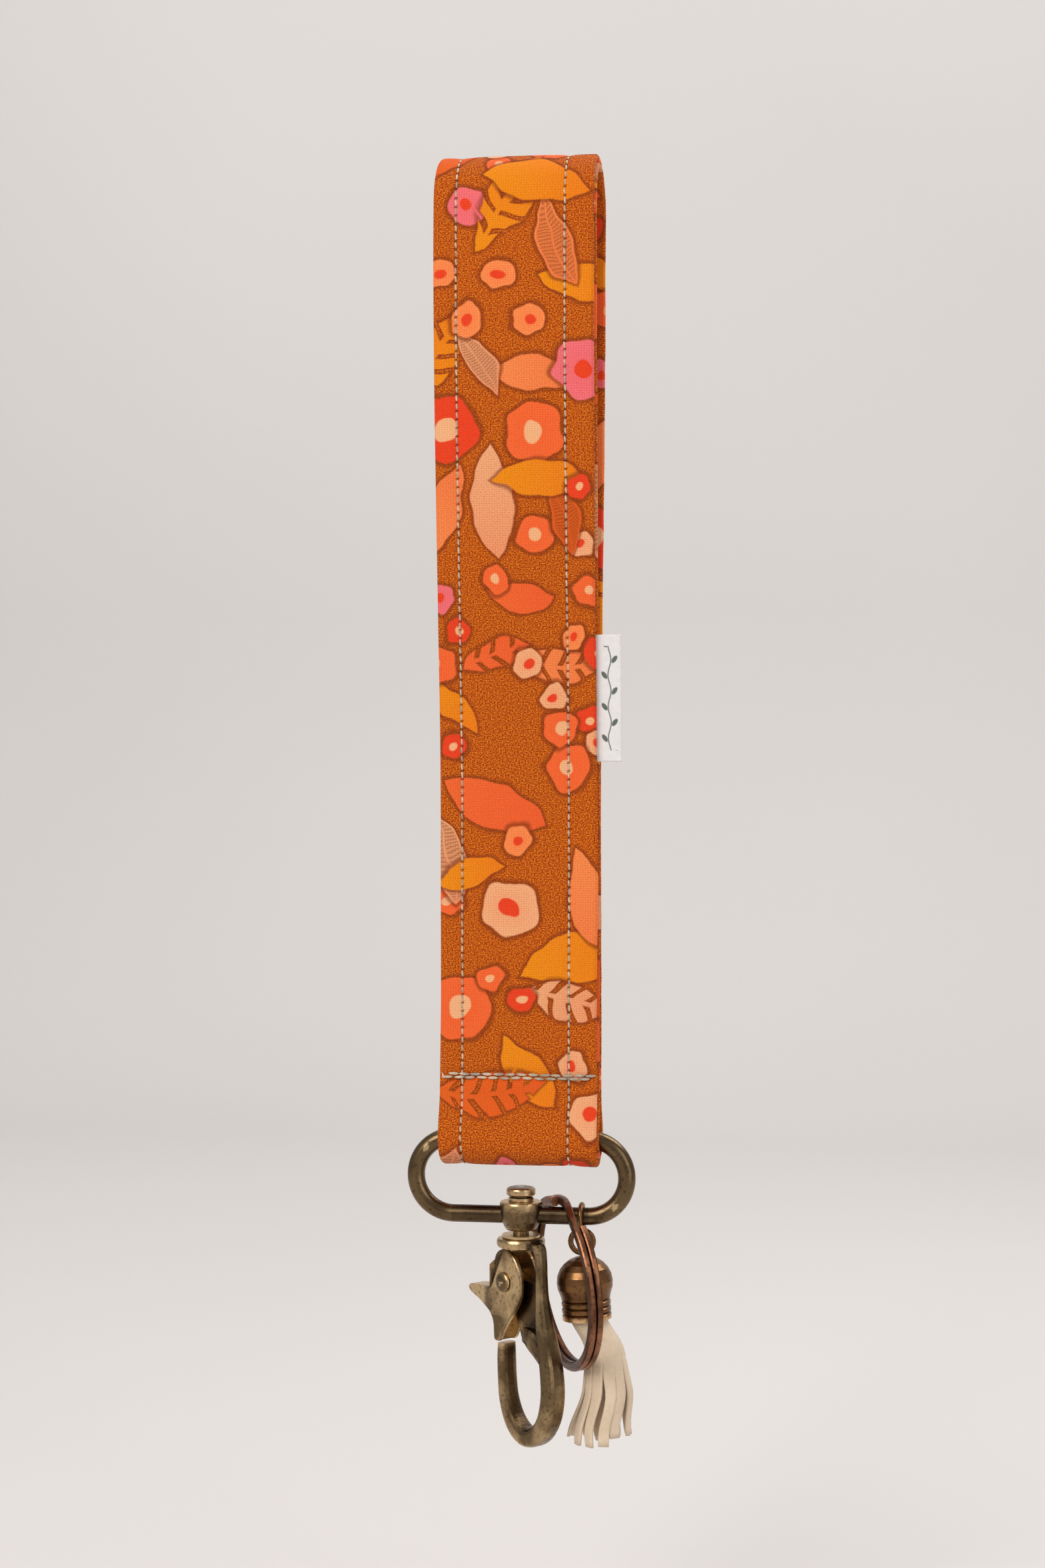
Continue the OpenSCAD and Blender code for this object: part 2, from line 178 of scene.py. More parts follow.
def loop_path():
    """Evenly spaced places on the strap's middle line, from the top down the front, round the
    bar and up the back: arc length, place (y, z) and outward direction."""
    z = np.linspace(0, UPPER_Z, 1500)
    top = np.linspace(math.pi / 2, math.pi, 200)[:-1]
    wrap = np.linspace(-math.pi, 0, 300)[1:-1]
    front = np.stack([-side_y(z), z], 1)
    back = np.stack([side_y(z[::-1]), z[::-1]], 1)
    line = np.concatenate([
        TOP_R * np.stack([np.cos(top), np.sin(top)], 1), front,
        [0, UPPER_Z] + WRAP_R * np.stack([np.cos(wrap), np.sin(wrap)], 1), back,
        TOP_R * np.stack([np.cos(top - math.pi / 2), np.sin(top - math.pi / 2)], 1)[1:],
        [[0, TOP_R]]])
    length = np.concatenate([[0], np.cumsum(np.linalg.norm(np.diff(line, axis=0), axis=1))])
    count = 4 * round(length[-1] / STITCH)
    s = np.arange(count) * length[-1] / count
    place = np.stack([np.interp(s, length, line[:, k]) for k in (0, 1)], 1)
    along = np.roll(place, -1, 0) - np.roll(place, 1, 0)
    along /= np.linalg.norm(along, axis=1)[:, None]
    outward = np.stack([along[:, 1], -along[:, 0]], 1)
    return length[-1], s, place, outward


LOOP, PATH_S, PATH, OUTWARD = loop_path()
ZONE = LOOP / MM / ZONES


def strap_point(index, x, height):
    """Points at fractional station index, across position x and height off the middle line."""
    low = np.floor(index).astype(int)
    part = (index - low)[..., None]
    low, high = low % len(PATH), (low + 1) % len(PATH)
    place = PATH[low] * (1 - part) + PATH[high] * part
    out = OUTWARD[low] * (1 - part) + OUTWARD[high] * part
    flat = place + out * height[..., None]
    return np.stack([x + 0 * flat[..., 0], flat[..., 0], flat[..., 1]], -1)


# ---- the sleeve ----

HEM_TURN = 2.6 * MM        # cloth turned in between the open edges
EDGE_ROUND = 0.62 * MM     # rounding of the two folded edges
FOLD_ROUND = 1.25 * MM     # how far the folded side's roundness reaches in
OUTER_INSET = 0.35 * MM    # the outer edge stops a little short of the inner one
PINCH = 0.34 * MM          # how deep a row of stitches pulls the cloth in
SEAM_PINCH = 0.45 * MM


def section_layout():
    """The sleeve's section: for each point its side (+1 outside, -1 inside), the share of
    the full height it stands at, and its place across. It runs from the hem turned in on the
    outside, across the outside, round the fold and back to the hem on the inside."""
    def edge(limit):
        hem = [(limit - HEM_TURN * k / 3, 0.12) for k in (3, 2, 1)]
        turn = [(limit - EDGE_ROUND * (1 - math.cos(a)), 0.12 + 0.88 * (1 + math.sin(a)) / 2)
                for a in np.radians((-90, -55, -20, 15, 50, 80))]
        hem[-1] = (limit - HEM_TURN * 0.4, 0.12)
        return hem + turn
    fold = [(-HALF_W + FOLD_ROUND * (1 - math.cos(a)), math.sin(a) ** 0.8)
            for a in np.radians((76, 60, 45, 31, 18, 7))]
    rows = (LEFT_ROW, RIGHT_ROW)
    spaced = np.linspace(HALF_W - OUTER_INSET - 1.1 * MM, -HALF_W + FOLD_ROUND + 0.3 * MM, 36)
    near = [row + d * MM for row in rows for d in (-0.9, -0.45, -0.15, 0.15, 0.45, 0.9)]
    far = [x for x in spaced if min(abs(x - row) for row in rows) > 1.1 * MM]
    across = [(x, 1.0) for x in sorted(far + near, reverse=True)]
    outside = edge(HALF_W - OUTER_INSET) + across + fold
    inside = (edge(HALF_W) + across + fold)[::-1]
    return ([(1, x, h) for x, h in outside] + [(-1, -HALF_W, 0.0)]
            + [(-1, x, h) for x, h in inside])


def sleeve():
    layout = section_layout()
    side = np.array([p[0] for p in layout])
    x = np.array([p[1] for p in layout])
    share = np.array([p[2] for p in layout])
    n = len(PATH_S)
    depth = PATH[:, 1]
    height = np.full((n, len(layout)), LAYER / 2)
    # the rows of stitches hold the cloth in, most of all at each stitch's end
    hole = 0.5 + 0.5 * np.cos(2 * math.pi * PATH_S / STITCH)
    seam = np.exp(-((depth - SEAM_Z) / (1.3 * MM)) ** 2)
    free = 1 - 0.8 * seam[:, None]
    for row in (LEFT_ROW, RIGHT_ROW):
        dip = np.exp(-((x - row) / (0.75 * MM)) ** 2) * 0.7
        wide = np.exp(-((x - row) / (2.6 * MM)) ** 2) * 0.35
        height -= PINCH * (dip[None, :] * (0.6 + 0.55 * hole[:, None]) + wide[None, :]) * free
    # the seam holds it in across the strap, on both layers
    height -= SEAM_PINCH * seam[:, None] * np.where(side > 0, 1, 0.3)[None, :]
    # soft unevenness: cross puckers near the rows, and slow swells
    pucker = smooth_noise(3, 5, n)[:, None] * np.exp(-((x - LEFT_ROW) / (3.5 * MM)) ** 2)
    pucker = pucker + smooth_noise(4, 5, n)[:, None] * np.exp(-((x - RIGHT_ROW) / (3.5 * MM)) ** 2)
    swell = (smooth_noise(5, 46, n)[:, None] * np.cos(x / HALF_W * 2.2)
             + smooth_noise(6, 60, n)[:, None] * np.sin(x / HALF_W * 3.1))
    height += 0.05 * MM * pucker + 0.09 * MM * swell
    close = ease((depth - CLOSED_Z) / (25 * MM))[:, None]
    height = np.where(side[None, :] < 0,
                      np.minimum(height, LAYER / 2 + 0.05 * MM * close), height)
    # inside the bend over the axis the cloth gathers into small creases
    bend = ease((depth + 4 * MM) / (6 * MM))
    crease = np.sin(PATH_S / (0.62 * MM) + 1.7 * np.sin(PATH_S / (5 * MM)))
    height += np.where(side < 0, -0.07 * MM, 0)[None, :] * (bend * crease)[:, None]
    wander = 0.16 * MM * smooth_noise(7, 70, n) + 0.05 * MM * smooth_noise(8, 9, n)
    wander_left = 0.14 * MM * smooth_noise(9, 60, n)
    across = x[None, :] + np.where(x > 0, x / HALF_W, 0)[None, :] * wander[:, None]
    across = across + np.where(x < 0, -x / HALF_W, 0)[None, :] * wander_left[:, None]
    signed = side[None, :] * share[None, :] * height
    index = np.repeat(np.arange(n, dtype=float)[:, None], len(layout), 1)
    grid = strap_point(index, across, signed)
    uv = np.zeros((n + 1, len(layout), 2))
    uv[..., 0] = np.where(side > 0, x, -x)[None, :] / MM
    uv[..., 1] = (np.arange(n + 1) * LOOP / n / MM)[:, None]
    obj = surface("strap_sleeve", grid, close_rows=True, uv=uv)
    paint_zones(obj, n, side)
    # marks the needle holes along each row, where the cloth gets painted shade
    needle = np.zeros((n, len(layout)), np.float32)
    for row in (LEFT_ROW, RIGHT_ROW):
        needle[::4] = np.maximum(needle[::4], np.abs(x - row) < 0.2 * MM)
    holes = obj.data.attributes.new("needle", "FLOAT", "POINT")
    holes.data.foreach_set("value", needle.ravel())
    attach(obj, "strap")
    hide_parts("strap_cover")


def paint_zones(obj, stations, side):
    """Gives each face the material of its band of the print. The inside shows the print
    from further along, as cut from another part of the cloth."""
    for zone in range(ZONES):
        obj.data.materials.append(printed_cotton(zone))
    columns = len(side) - 1
    uv = np.zeros(len(obj.data.loops) * 2, np.float32)
    layer = obj.data.uv_layers["print"]
    layer.data.foreach_get("uv", uv)
    uv = uv.reshape(stations, columns, 4, 2)
    inside = np.where(side[1:] < 0, INSIDE_SHIFT, 0.0)
    uv[..., 1] += inside[None, :, None]
    middle = uv[..., 1].mean(2)
    total = LOOP / MM
    uv[..., 1] -= np.where(middle >= total, total, 0)[..., None]
    zone = np.clip((uv[..., 1].mean(2) / ZONE).astype(np.int32), 0, ZONES - 1)
    layer.data.foreach_set("uv", uv.ravel())
    obj.data.polygons.foreach_set("material_index", zone.ravel())


# ---- node materials ----

def rgb(red, green, blue):
    """A linear colour from the usual 0 to 255 numbers."""
    def linear(v):
        v /= 255
        return v / 12.92 if v <= 0.04045 else ((v + 0.055) / 1.055) ** 2.4
    return (linear(red), linear(green), linear(blue), 1.0)


class Shade:
    """A material whose nodes are written as expressions."""

    def __init__(self, name):
        self.material = bpy.data.materials.new(name)
        self.material.use_nodes = True
        self.tree = self.material.node_tree
        self.tree.nodes.clear()

    def node(self, kind, inputs, **settings):
        made = self.tree.nodes.new(kind)
        for key, value in settings.items():
            setattr(made, key, value)
        for key, value in inputs:
            if isinstance(value, bpy.types.NodeSocket):
                self.tree.links.new(value, made.inputs[key])
            else:
                made.inputs[key].default_value = value
        return made

    def math(self, operation, *values, clamp=False):
        return self.node("ShaderNodeMath", enumerate(values), operation=operation,
                         use_clamp=clamp).outputs[0]

    def vector(self, operation, *values, output="Vector"):
        return self.node("ShaderNodeVectorMath", enumerate(values),
                         operation=operation).outputs[output]

    def dot(self, a, b):
        return self.vector("DOT_PRODUCT", a, b, output="Value")

    def soft_step(self, value, gain):
        """0 below zero and 1 above it, with an edge 1 / gain wide."""
        return self.math("MULTIPLY_ADD", value, gain, 0.5, clamp=True)

    def mix(self, factor, a, b, blend="MIX"):
        made = self.tree.nodes.new("ShaderNodeMix")
        made.data_type = "RGBA"
        made.blend_type = blend
        for key, value in ((0, factor), (6, a), (7, b)):
            if isinstance(value, bpy.types.NodeSocket):
                self.tree.links.new(value, made.inputs[key])
            else:
                made.inputs[key].default_value = value
        return made.outputs[2]

    def noise(self, vector, scale, detail=2.0, output="Fac", dimensions="3D"):
        return self.node("ShaderNodeTexNoise", (("Vector", vector), ("Scale", scale),
                         ("Detail", detail)), noise_dimensions=dimensions).outputs[output]

    def place(self):
        return self.node("ShaderNodeTexCoord", ()).outputs["Object"]

    def bump(self, height, strength, distance):
        return self.node("ShaderNodeBump", (("Height", height), ("Strength", strength),
                         ("Distance", distance))).outputs["Normal"]

    def finish(self, **inputs):
        """Ends the material in a Principled shader; an underscore stands for a space."""
        shader = self.node("ShaderNodeBsdfPrincipled",
                           [(key.replace("_", " "), value) for key, value in inputs.items()])
        output = self.tree.nodes.new("ShaderNodeOutputMaterial")
        self.tree.links.new(shader.outputs[0], output.inputs[0])
        return self.material


# ---- the printed cotton ----

RUST = rgb(194, 80, 0)
RUST_DEEP = rgb(128, 44, 0)
GOLD = rgb(226, 126, 0)
MUSTARD = rgb(240, 146, 0)
PEACH = rgb(250, 142, 78)
CORAL = rgb(244, 104, 48)
FLAME = rgb(232, 58, 24)
ORANGE = rgb(228, 98, 24)
CREAM = rgb(242, 178, 128)
PINK = rgb(240, 112, 122)
WEAVE_U, WEAVE_V = 0.51, 0.45     # spacing of the cloth's threads, in mm


def leaf(u, v, angle, length, width, colour, kind="plain", bend=0.0):
    return dict(form="leaf", u=u, v=v, angle=angle, length=length, width=width, colour=colour,
                kind=kind, bend=bend, reach=max(length, width) + 1.5)


def flower(u, v, radius, colour, centre, petals=5):
    return dict(form="flower", u=u, v=v, radius=radius, colour=colour, centre=centre,
                petals=petals, reach=radius + 1.5)


MOTIFS = 128
MOTIF_SIZES = (2.8, 3.4, 4.2, 5.4, 6.6, 7.4)   # in mm
PRINT_REACH = 17                  # how far across from the middle a motif's own middle may be
CROWDING = 0.72                   # share of two motifs' sizes that they keep apart
OVERLAP_CHANCE = 0.02             # how often a motif that stands too close stays
LEAF_FROM = 4                     # smallest size that may be a leaf
LEAF_SHARE = 0.62


def scattered_print():
    """The print: flowers and leaves scattered all round the loop and kept apart by chance."""
    chance = random.Random(11)
    placed = []
    length = LOOP / MM
    while len(placed) < MOTIFS:
        v = chance.uniform(0, length)
        u = chance.uniform(-PRINT_REACH, PRINT_REACH)
        size = chance.choice(MOTIF_SIZES)
        if any(math.hypot(u - m["u"], min(abs(v - m["v"]), length - abs(v - m["v"])))
               < CROWDING * (size + m["size"]) for m in placed):
            if chance.random() > OVERLAP_CHANCE:
                continue
        light = chance.choice((PEACH, CORAL, CORAL, CREAM, PINK, FLAME))
        if size > LEAF_FROM and chance.random() < LEAF_SHARE:
            kind = chance.choice(("plain", "plain", "hatched", "sprig"))
            colour = chance.choice((MUSTARD, MUSTARD, PEACH, CREAM, CORAL, ORANGE))
            motif = leaf(u, v, chance.uniform(-90, 90), size * 1.7, size * 0.66, colour, kind,
                         chance.uniform(-0.35, 0.35))
        else:
            centre = CREAM if light in (CORAL, FLAME) else FLAME
            motif = flower(u, v, size * 0.9, light, centre, chance.choice((5, 6)))
        motif["size"] = size
        placed.append(motif)
    return placed


PRINT = scattered_print()


def paint_leaf(s, colour, place, grain, motif):
    """Lays one leaf over the colour: a lens with a bend, and its veins."""
    a = math.radians(motif["angle"])
    along = (math.cos(a), math.sin(a))
    off = s.vector("SUBTRACT", place, (motif["u"], motif["v"], 0))
    t = s.dot(off, (along[0] / motif["length"], along[1] / motif["length"], 0))
    w = s.dot(off, (-along[1] / motif["width"], along[0] / motif["width"], 0))
    t2 = s.math("MULTIPLY", t, t)
    w = s.math("ABSOLUTE", s.math("MULTIPLY_ADD", t2, motif["bend"], w))
    inside = s.math("SUBTRACT", s.math("SUBTRACT", 1.0, t2), w)
    gain = motif["width"] / 0.28
    tint = s.mix(s.math("MULTIPLY_ADD", t, 0.28, 0.36, clamp=True), motif["colour"],
                 s.mix(0.55, motif["colour"], FLAME))
    if motif["kind"] == "sprig":
        # leaflets: the lens is cut by slanted gaps on both sides of its stem
        slant = s.math("MULTIPLY_ADD", w, -0.22, t)
        teeth = s.math("PINGPONG", s.math("MULTIPLY", slant, 0.27 * motif["length"]), 0.5)
        cut = s.math("MULTIPLY_ADD", teeth, 1.6, -0.26)
        cut = s.math("MAXIMUM", cut, s.math("SUBTRACT", 0.14, w))
        inside = s.math("MINIMUM", inside, cut)
        gain *= 0.8
    halo = s.soft_step(s.math("ADD", inside, 0.7 / motif["width"]), gain * 0.45)
    colour = s.mix(s.math("MULTIPLY", halo, 0.72), colour, RUST_DEEP)
    if motif["kind"] == "hatched":
        lines = s.math("PINGPONG", s.math("MULTIPLY_ADD", w, 1.2, s.math("MULTIPLY", t, 12.5)),
                       0.5)
        hatch = s.soft_step(s.math("SUBTRACT", lines, 0.24), 5)
        border = s.soft_step(s.math("SUBTRACT", 0.13, inside), gain)
        rib = s.soft_step(s.math("SUBTRACT", 0.05, w), gain)
        lit = s.math("MAXIMUM", s.math("MULTIPLY", hatch, 0.62), s.math("MAXIMUM", border, rib))
        tint = s.mix(lit, s.mix(0.6, motif["colour"], RUST_DEEP), tint)
    tint = s.mix(s.math("MULTIPLY", grain, 0.34), tint, RUST)
    return s.mix(s.soft_step(inside, gain), colour, tint)


def paint_flower(s, colour, place, grain, motif):
    """Lays one flower over the colour: soft petals round a dot."""
    off = s.vector("SUBTRACT", place, (motif["u"], motif["v"], 0))
    unit = s.vector("MULTIPLY", off, (1 / motif["radius"], 1 / motif["radius"], 0))
    r = s.vector("LENGTH", unit, output="Value")
    parts = s.node("ShaderNodeSeparateXYZ", [(0, unit)])
    angle = s.math("ARCTAN2", parts.outputs[1], parts.outputs[0])
    wave = s.math("COSINE", s.math("MULTIPLY_ADD", angle, float(motif["petals"]), motif["u"]))
    inside = s.math("SUBTRACT", s.math("MULTIPLY_ADD", wave, 0.04, 0.96), r)
    gain = motif["radius"] / 0.28
    halo = s.soft_step(s.math("ADD", inside, 0.8 / motif["radius"]), gain * 0.45)
    colour = s.mix(s.math("MULTIPLY", halo, 0.72), colour, RUST_DEEP)
    tint = s.mix(s.math("MULTIPLY_ADD", r, -0.5, 0.5, clamp=True), motif["colour"],
                 s.mix(0.4, motif["colour"], FLAME))
    tint = s.mix(s.math("MULTIPLY", grain, 0.32), tint, FLAME)
    dot = s.soft_step(s.math("SUBTRACT", 0.33, r), gain)
    tint = s.mix(dot, tint, motif["centre"])
    return s.mix(s.soft_step(inside, gain), colour, tint)


def printed_cotton(zone):
    """The cloth in one band of the print, with only the motifs that reach into it."""
    s = Shade(f"printed_cotton_{zone}")
    uv = s.node("ShaderNodeUVMap", (), uv_map="print").outputs[0]
    drift = s.noise(uv, 0.13, 1.0, "Color", "2D")
    fine = s.noise(uv, 0.75, 1.0, "Color", "2D")
    place = s.vector("MULTIPLY_ADD", drift, (2.8, 2.8, 0), uv)
    place = s.vector("MULTIPLY_ADD", fine, (0.18, 0.18, 0), place)
    place = s.vector("SUBTRACT", place, (1.49, 1.49, 0))
    parts = s.node("ShaderNodeSeparateXYZ", [(0, uv)])
    speck = s.noise(s.vector("MULTIPLY", uv, (1.0, 1.25, 0)), 3.3, 4.0, dimensions="2D")
    grain = s.soft_step(s.math("SUBTRACT", speck, 0.57), 5)
    light = s.soft_step(s.math("SUBTRACT", 0.42, speck), 6)
    colour = s.mix(light, s.mix(grain, RUST, RUST_DEEP), GOLD)
    low, high = zone * ZONE, (zone + 1) * ZONE
    for motif in PRINT:
        for turn in (-LOOP / MM, 0, LOOP / MM):
            v = motif["v"] + turn
            if low - motif["reach"] < v < high + motif["reach"]:
                paint = paint_leaf if motif["form"] == "leaf" else paint_flower
                colour = paint(s, colour, place, grain, {**motif, "v": v})
    # plain weave: threads across and along, one over the other by turns
    across = s.math("SINE", s.math("MULTIPLY", parts.outputs[0], math.pi / WEAVE_U))
    along = s.math("SINE", s.math("MULTIPLY", parts.outputs[1], math.pi / WEAVE_V))
    over = s.math("GREATER_THAN", s.math("MULTIPLY", across, along), 0.0)
    colour = s.mix(s.math("MULTIPLY", light, 0.05), colour, CREAM)
    weave = s.math("ADD", s.math("MULTIPLY", s.math("ABSOLUTE", across), over),
                   s.math("MULTIPLY", s.math("ABSOLUTE", along),
                          s.math("SUBTRACT", 1.0, over)))
    # painted shade: the cloth is darkened towards deep rust in the low gaps between the threads,
    # where the weave's height is least
    colour = s.mix(s.math("MULTIPLY_ADD", weave, -0.34, 0.34), colour, s.mix(
        0.75, colour, RUST_DEEP))
    # painted shade: the needle holes are darkened to near black-brown, as the shade inside each
    # hole
    needle = s.node("ShaderNodeAttribute", (), attribute_name="needle").outputs["Fac"]
    colour = s.mix(s.math("MULTIPLY", needle, 0.9), colour, rgb(58, 30, 16))
    slub = s.noise(s.vector("MULTIPLY", uv, (0.35, 2.2, 0)), 1.0, 2.0, dimensions="2D")
    colour = s.mix(s.math("MULTIPLY_ADD", slub, 0.3, -0.06, clamp=True), colour,
                   s.mix(0.15, colour, CREAM))
    fuzz = s.noise(uv, 7.0, 2.0, dimensions="2D")
    height = s.math("MULTIPLY_ADD", fuzz, 0.5, weave)
    return s.finish(Base_Color=colour, Roughness=0.88, Specular_IOR_Level=0.14,
                    Sheen_Weight=0.03, Sheen_Roughness=0.5,
                    Normal=s.bump(height, 0.55, 0.09 * MM))


# ---- other materials ----

def thread_material():
    s = Shade("cotton_thread")
    place = s.place()
    tone = s.noise(place, 420.0, 2.0)
    ply = s.node("ShaderNodeTexWave", (("Vector", place), ("Scale", 900.0), ("Distortion", 1.5)),
                 bands_direction="DIAGONAL").outputs["Fac"]
    colour = s.mix(s.soft_step(s.math("SUBTRACT", tone, 0.5), 3), rgb(222, 202, 174),
                   rgb(160, 145, 128))
    colour = s.mix(s.math("MULTIPLY", ply, 0.3), colour, rgb(120, 98, 76))
    return s.finish(Base_Color=colour, Roughness=0.62, Sheen_Weight=0.2,
                    Normal=s.bump(ply, 0.5, 0.05 * MM))


def fleece_material():
    s = Shade("needled_fleece")
    place = s.place()
    tuft = s.noise(place, 900.0, 4.0)
    colour = s.mix(tuft, rgb(214, 206, 190), rgb(244, 240, 230))
    return s.finish(Base_Color=colour, Roughness=0.95, Sheen_Weight=0.3,
                    Normal=s.bump(tuft, 0.8, 0.2 * MM))


def label_material():
    """Satin ribbon with a woven vine: a waving stem with a leaf on either side by turns."""
    s = Shade("satin_ribbon")
    uv = s.node("ShaderNodeUVMap", (), uv_map="print").outputs[0]
    parts = s.node("ShaderNodeSeparateXYZ", [(0, uv)])
    u, v = parts.outputs[0], parts.outputs[1]
    stem_u = s.math("MULTIPLY_ADD", s.math("SINE", s.math("MULTIPLY", v, 2 * math.pi / 6.2)),
                    0.3, 3.9)
    stem = s.soft_step(s.math("SUBTRACT", 0.11, s.math("ABSOLUTE", s.math(
        "SUBTRACT", u, stem_u))), 9)
    turn = s.math("SUBTRACT", s.math("FRACT", s.math("MULTIPLY", v, 1 / 3.1)), 0.5)
    side = s.math("SIGN", s.math("SINE", s.math("MULTIPLY", v, math.pi / 3.1)))
    leaf_u = s.math("MULTIPLY_ADD", side, 1.0, 3.9)
    across = s.math("SUBTRACT", u, leaf_u)
    away = s.math("MULTIPLY", across, 1.15)
    tall = s.math("MULTIPLY", s.math("ADD", turn, s.math("MULTIPLY", s.math(
        "MULTIPLY", across, side), -0.22)), 3.6)
    spread = s.math("ADD", s.math("MULTIPLY", away, away), s.math("MULTIPLY", tall, tall))
    leaves = s.soft_step(s.math("SUBTRACT", 0.5, spread), 3)
    ink = s.math("MAXIMUM", stem, leaves)
    within = s.math("LESS_THAN", s.math("ABSOLUTE", s.math("SUBTRACT", v, 12.5)), 10.3)
    ink = s.math("MULTIPLY", ink, within)
    rib = s.math("SINE", s.math("MULTIPLY", v, 2 * math.pi / 0.26))
    mottle = s.noise(uv, 0.9, 2.0, dimensions="2D")
    ribbon = s.mix(mottle, rgb(217, 214, 213), rgb(230, 228, 227))
    colour = s.mix(s.math("MULTIPLY", ink, 0.9), ribbon, rgb(44, 62, 46))
    return s.finish(Base_Color=colour, Roughness=0.42, Anisotropic=0.4, Sheen_Weight=0.15,
                    Normal=s.bump(rib, 0.25, 0.03 * MM))


def aged_metal(name, bright, mid, dark, shine):
    """Plated metal rubbed bright on its high places and dark in its low ones."""
    s = Shade(name)
    place = s.place()
    cloud = s.noise(place, 170.0, 3.0)
    speck = s.noise(place, 1500.0, 3.0)
    edge = s.node("ShaderNodeNewGeometry", ()).outputs["Pointiness"]
    worn = s.math("MULTIPLY_ADD", s.math("SUBTRACT", edge, 0.5), 7.0,
                  s.math("MULTIPLY_ADD", cloud, 0.8, 0.06), clamp=True)
    colour = s.mix(worn, dark, mid)
    colour = s.mix(s.math("MULTIPLY_ADD", worn, 2.4, -1.6, clamp=True), colour, bright)
    colour = s.mix(s.math("MULTIPLY", s.soft_step(s.math("SUBTRACT", speck, 0.62), 9), 0.55),
                   colour, dark)
    rough = s.math("MULTIPLY_ADD", s.math("ADD", cloud, speck), 0.16, shine)
    scratch = s.noise(s.vector("MULTIPLY", place, (1.0, 1.0, 9.0)), 900.0, 2.0)
    height = s.math("MULTIPLY_ADD", scratch, 0.35, cloud)
    return s.finish(Base_Color=colour, Metallic=1.0, Roughness=rough,
                    Normal=s.bump(height, 0.16, 0.08 * MM))


def steel_material():
    s = Shade("spring_wire")
    drawn = s.noise(s.vector("MULTIPLY", s.place(), (1.0, 1.0, 6.0)), 1200.0, 2.0)
    colour = s.mix(drawn, rgb(120, 116, 110), rgb(186, 182, 174))
    return s.finish(Base_Color=colour, Metallic=1.0,
                    Roughness=s.math("MULTIPLY_ADD", drawn, 0.2, 0.25))


def suede_material():
    s = Shade("napped_suede")
    place = s.place()
    nap = s.noise(place, 1500.0, 4.0)
    patch = s.noise(place, 160.0, 3.0)
    colour = s.mix(patch, rgb(204, 180, 150), rgb(234, 217, 194))
    colour = s.mix(s.math("MULTIPLY", nap, 0.45), colour, rgb(184, 155, 124))
    height = s.math("ADD", nap, patch)
    return s.finish(Base_Color=colour, Roughness=0.92, Specular_IOR_Level=0.2,
                    Sheen_Weight=0.35, Sheen_Roughness=0.4,
                    Normal=s.bump(height, 0.7, 0.12 * MM))


# ---- stitches ----

def stitch_part(centre, half, out, across, width, thick):
    """One stitch: a rounded grain along half, which dips into the cloth at both ends."""
    rings = []
    for t in (-1.0, -0.88, -0.55, 0.0, 0.55, 0.88, 1.0):
        round_ = max(0.12, 1 - abs(t) ** 3.5)
        sink = -0.55 * thick * abs(t) ** 3
        rings.append([centre + half * t + out * (sink + thick * round_ * math.sin(a))
                      + across * (width * round_ * math.cos(a))
                      for a in np.linspace(0, 2 * math.pi, 8, endpoint=False)])
    return tube_part(np.array(rings))


def row_of_stitches(name, x, node, material, seed):
    chance = random.Random(seed)
    per = len(PATH_S) / round(LOOP / STITCH)
    across = np.array((1.0, 0, 0))
    parts = []
    for face in (1, -1):
        for k in range(round(LOOP / STITCH)):
            middle = (k + 0.5) * per
            z = float(np.interp(middle, np.arange(len(PATH_S)), PATH[:, 1]))
            if face < 0 and z < CLOSED_Z + 8 * MM and k * STITCH > 0:
                continue
            level = np.array(face * (LAYER / 2 - 0.30 * MM))
            at = strap_point(np.array(middle), x + chance.uniform(-0.06, 0.06) * MM, level)
            ahead = strap_point(np.array(middle + 1), x, level)
            behind = strap_point(np.array(middle - 1), x, level)
            half = (ahead - behind) / np.linalg.norm(ahead - behind)
            half = half + across * chance.uniform(0.03, 0.13)
            out = np.cross(half, across)
            out = out / np.linalg.norm(out) * face * np.sign(
                np.dot(np.cross(half, across)[1:], OUTWARD[int(middle) % len(PATH)]))
            parts.append(stitch_part(at, half * STITCH * chance.uniform(0.40, 0.44), out,
                                     across, 0.21 * MM, 0.19 * MM))
    finish_piece(joined(name, parts), "strap", material, [node])


def seam_stitches(material):
    """The thick seam across the strap that holds the ring, sewn twice over."""
    chance = random.Random(5)
    pitch = 2.3 * MM
    count = int(2 * (HALF_W - 0.4 * MM) / pitch)
    parts = []
    for y, face in ((seam_low.y, -1), (seam_high.y, 1)):
        for line, shift in ((-0.32 * MM, 0.0), (0.36 * MM, 0.5)):
            for k in range(count):
                x = (k + shift - count / 2 + 0.25) * pitch + chance.uniform(-0.1, 0.1) * MM
                centre = np.array((x, y - face * 0.34 * MM,
                                   SEAM_Z + line + chance.uniform(-0.05, 0.05) * MM))
                half = np.array((pitch * 0.46, 0, chance.uniform(-0.08, 0.08) * MM))
                parts.append(stitch_part(centre, half, np.array((0, face * 1.0, 0)),
                                         np.array((0, 0, 1.0)), 0.30 * MM, 0.30 * MM))
    finish_piece(joined("seam_stitches", parts), "strap", material, ["seam_stitch"])


# ---- label ----

